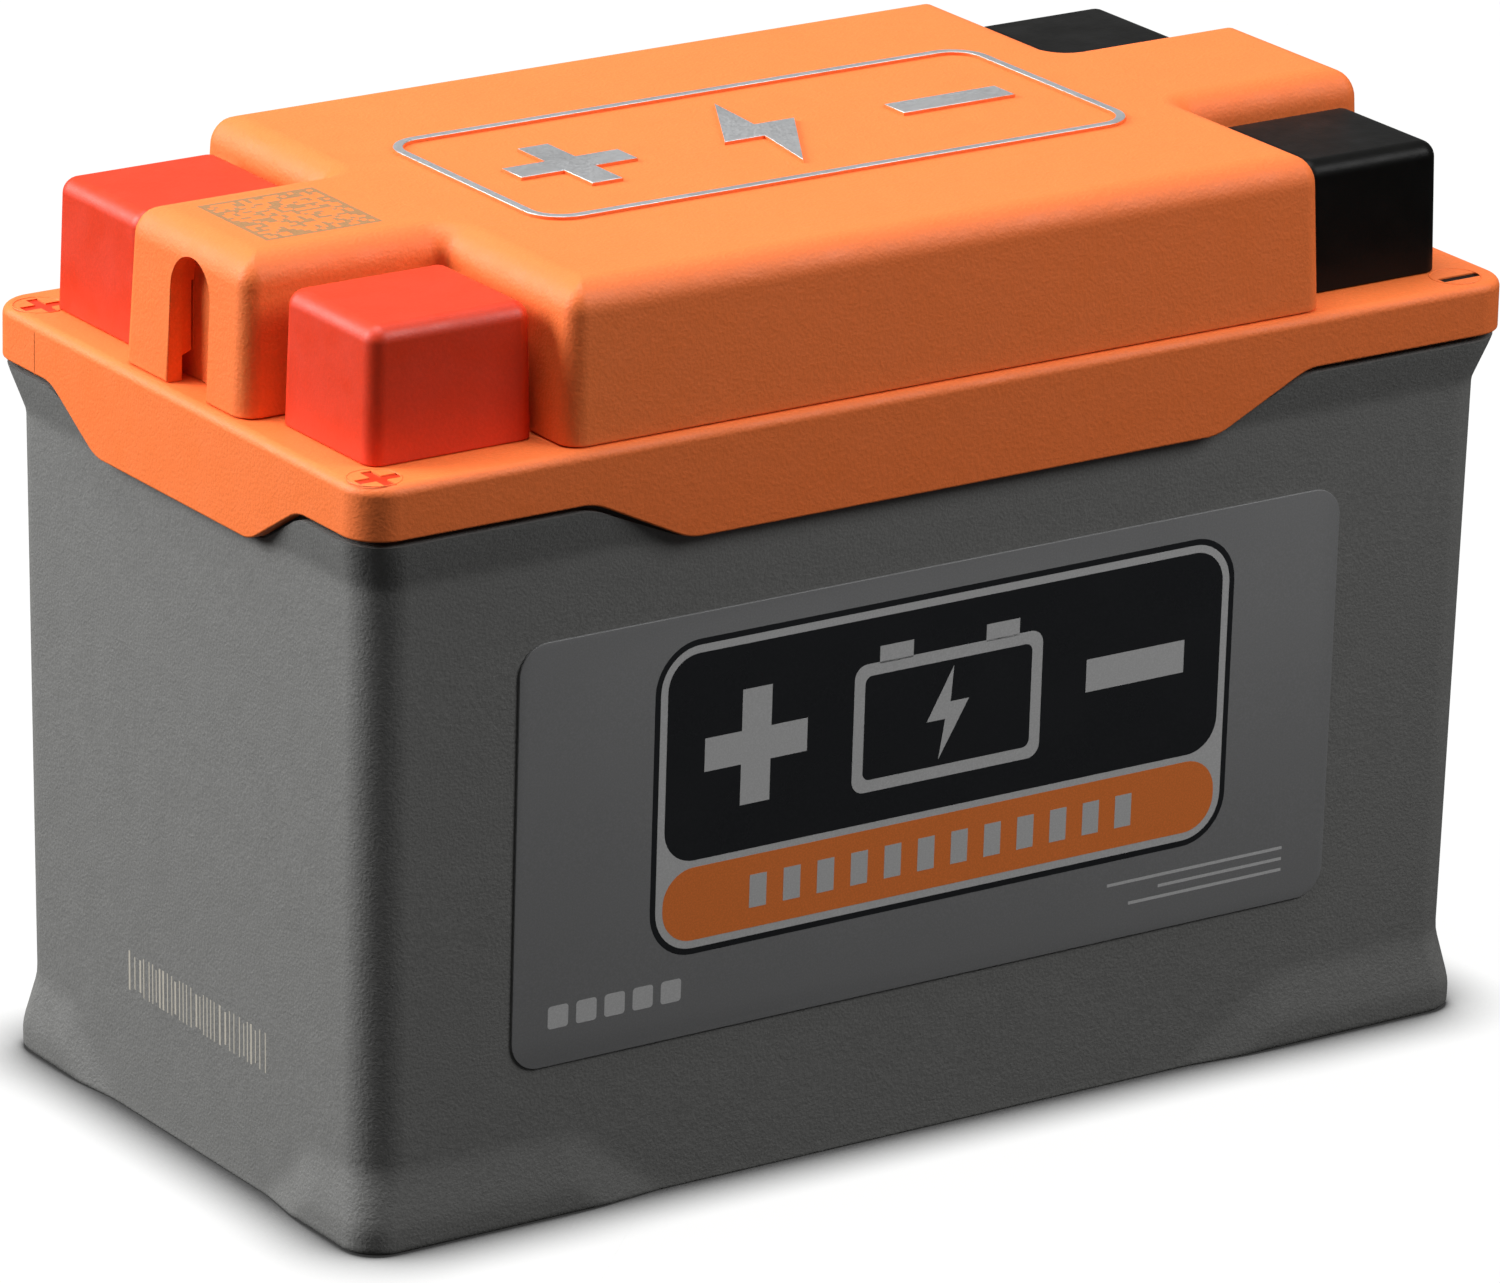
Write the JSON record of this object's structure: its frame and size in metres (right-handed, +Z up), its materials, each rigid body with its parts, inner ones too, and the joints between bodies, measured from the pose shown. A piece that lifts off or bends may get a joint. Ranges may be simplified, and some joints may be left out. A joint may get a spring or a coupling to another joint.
{
  "type": "motorcycle battery",
  "caption": "Box-shaped lithium motorcycle battery: grey case, orange lid and raised cross-shaped cover, capped screw terminals at the corners.",
  "frame": {"origin": "middle of the base, on the surface that the battery stands on", "axes": "+X along the length from the positive end to the negative end, +Y from the label side to the rear, +Z up"},
  "size_m": [0.15, 0.078, 0.1047],
  "materials": {
    "grey_case": "fine moulded texture",
    "orange_plastic": "fine moulded texture",
    "red_plastic": "smooth, soft sheen",
    "black_plastic": "smooth, soft sheen",
    "grey_label": "satin printed film",
    "silver_badge": "satin metal film",
    "tinned_brass": "tin plated",
    "zinc_steel": "zinc plated",
    "copper": "bare copper sheet",
    "aluminium": "extruded, plain",
    "blue_wrap": "shrink film over a metal can",
    "black_holder": "moulded",
    "grey_foam": "closed-cell foam",
    "rubber_seal": "plain",
    "fish_paper": "plain insulating paper",
    "green_board": "solder mask over glass board",
    "white_nylon": "moulded",
    "amber_film": "polyimide film"
  },
  "bodies": {
    "housing": {"case": "grey_case", "lid": "orange_plastic", "lid_seal": "rubber_seal", "top_cover": "orange_plastic", "badge_frame": "silver_badge", "badge_plus": "silver_badge", "badge_bolt": "silver_badge", "badge_minus": "silver_badge", "front_label": "grey_label", "terminal_post_positive_front": "tinned_brass", "terminal_post_positive_rear": "tinned_brass", "terminal_post_negative_front": "tinned_brass", "terminal_post_negative_rear": "tinned_brass", "square_nut_positive_front": "zinc_steel", "square_nut_positive_rear": "zinc_steel", "square_nut_negative_front": "zinc_steel", "square_nut_negative_rear": "zinc_steel", "cell_front_1": "blue_wrap", "cell_front_2": "blue_wrap", "cell_front_3": "blue_wrap", "cell_front_4": "blue_wrap", "cell_rear_1": "blue_wrap", "cell_rear_2": "blue_wrap", "cell_rear_3": "blue_wrap", "cell_rear_4": "blue_wrap", "lower_cell_holder": "black_holder", "upper_cell_holder": "black_holder", "busbar_bottom_positive_end": "copper", "busbar_bottom_negative_end": "copper", "busbar_top_positive": "copper", "busbar_top_middle": "copper", "busbar_top_negative": "copper", "positive_strap": "copper", "negative_strap": "copper", "board_negative_link": "copper", "insulation_sheet": "fish_paper", "board_foam_pad": "grey_foam", "base_foam_pad": "grey_foam", "protection_board": "green_board", "heat_spreader": "aluminium", "sense_connector": "white_nylon", "sense_flex": "amber_film"},
    "cap_positive_front": {"terminal_cap_positive_front": "red_plastic"},
    "washer_positive_front": {"bolt_washer_positive_front": "zinc_steel"},
    "bolt_positive_front": {"terminal_bolt_positive_front": "zinc_steel"},
    "cap_positive_rear": {"terminal_cap_positive_rear": "red_plastic"},
    "washer_positive_rear": {"bolt_washer_positive_rear": "zinc_steel"},
    "bolt_positive_rear": {"terminal_bolt_positive_rear": "zinc_steel"},
    "cap_negative_front": {"terminal_cap_negative_front": "black_plastic"},
    "washer_negative_front": {"bolt_washer_negative_front": "zinc_steel"},
    "bolt_negative_front": {"terminal_bolt_negative_front": "zinc_steel"},
    "cap_negative_rear": {"terminal_cap_negative_rear": "black_plastic"},
    "washer_negative_rear": {"bolt_washer_negative_rear": "zinc_steel"},
    "bolt_negative_rear": {"terminal_bolt_negative_rear": "zinc_steel"}
  },
  "joints": [
    {"name": "cap_positive_front_lift", "type": "slide", "parent": "housing", "child": "cap_positive_front", "axis": [0, 0, 1], "range_m": [0, 0.03]},
    {"name": "bolt_positive_front_rise", "type": "slide", "parent": "housing", "child": "washer_positive_front", "axis": [0, 0, 1], "range_m": [0, 0.0018]},
    {"name": "bolt_positive_front_turn", "type": "hinge", "parent": "washer_positive_front", "child": "bolt_positive_front", "pos_m": [-0.0602, -0.0235, 0.0954], "axis": [0, 0, 1], "range_deg": [0, 650]},
    {"name": "cap_positive_rear_lift", "type": "slide", "parent": "housing", "child": "cap_positive_rear", "axis": [0, 0, 1], "range_m": [0, 0.03]},
    {"name": "bolt_positive_rear_rise", "type": "slide", "parent": "housing", "child": "washer_positive_rear", "axis": [0, 0, 1], "range_m": [0, 0.0018]},
    {"name": "bolt_positive_rear_turn", "type": "hinge", "parent": "washer_positive_rear", "child": "bolt_positive_rear", "pos_m": [-0.0602, 0.0235, 0.0954], "axis": [0, 0, 1], "range_deg": [0, 650]},
    {"name": "cap_negative_front_lift", "type": "slide", "parent": "housing", "child": "cap_negative_front", "axis": [0, 0, 1], "range_m": [0, 0.03]},
    {"name": "bolt_negative_front_rise", "type": "slide", "parent": "housing", "child": "washer_negative_front", "axis": [0, 0, 1], "range_m": [0, 0.0018]},
    {"name": "bolt_negative_front_turn", "type": "hinge", "parent": "washer_negative_front", "child": "bolt_negative_front", "pos_m": [0.05945, -0.0235, 0.0954], "axis": [0, 0, 1], "range_deg": [0, 650]},
    {"name": "cap_negative_rear_lift", "type": "slide", "parent": "housing", "child": "cap_negative_rear", "axis": [0, 0, 1], "range_m": [0, 0.03]},
    {"name": "bolt_negative_rear_rise", "type": "slide", "parent": "housing", "child": "washer_negative_rear", "axis": [0, 0, 1], "range_m": [0, 0.0018]},
    {"name": "bolt_negative_rear_turn", "type": "hinge", "parent": "washer_negative_rear", "child": "bolt_negative_rear", "pos_m": [0.05945, 0.0235, 0.0954], "axis": [0, 0, 1], "range_deg": [0, 650]}
  ],
  "couplings": [
    {"joint": "bolt_positive_front_turn", "follows": "bolt_positive_front_rise", "rad_per_m": 6283.2},
    {"joint": "bolt_positive_rear_turn", "follows": "bolt_positive_rear_rise", "rad_per_m": 6283.2},
    {"joint": "bolt_negative_front_turn", "follows": "bolt_negative_front_rise", "rad_per_m": 6283.2},
    {"joint": "bolt_negative_rear_turn", "follows": "bolt_negative_rear_rise", "rad_per_m": 6283.2}
  ]
}
